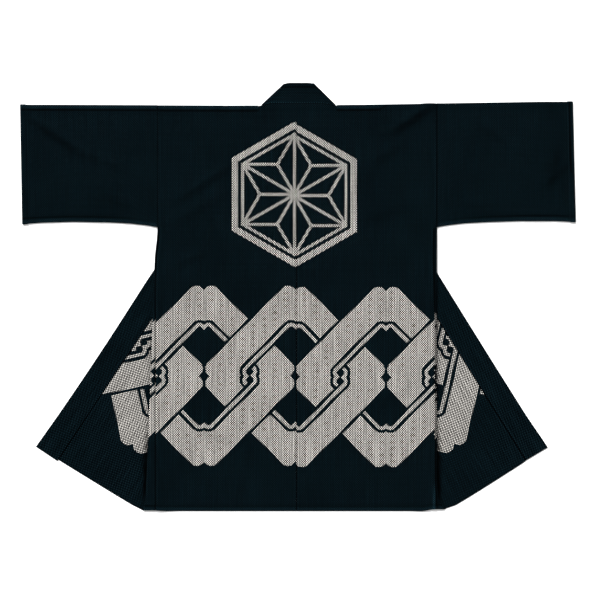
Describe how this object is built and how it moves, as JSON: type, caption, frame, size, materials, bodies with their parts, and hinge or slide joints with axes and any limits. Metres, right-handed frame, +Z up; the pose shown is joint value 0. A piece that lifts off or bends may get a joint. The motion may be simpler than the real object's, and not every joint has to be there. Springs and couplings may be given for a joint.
{
  "type": "happi coat",
  "caption": "Straight-cut cotton happi coat laid flat, back up, with both fronts and the collar band turned outward beside the body.",
  "frame": {"origin": "centre of the coat's bounding box, on the surface it lies on", "axes": "+X towards the wearer's right cuff (the picture's right), +Y towards the collar, +Z up from the surface; the coat's back faces up"},
  "size_m": [1.2194, 0.9396, 0.0082],
  "materials": {
    "body_cotton": "dark indigo quilted-weave cotton with an off-white resist-dyed chain pattern",
    "sleeve_cotton": "dark indigo quilted-weave cotton, plain",
    "collar_cotton": "dark indigo quilted-weave cotton, doubled"
  },
  "bodies": {
    "root": {"body_left": "body_cotton", "body_right": "body_cotton", "sleeve_left": "sleeve_cotton", "sleeve_right": "sleeve_cotton", "collar": "collar_cotton"}
  },
  "joints": []
}
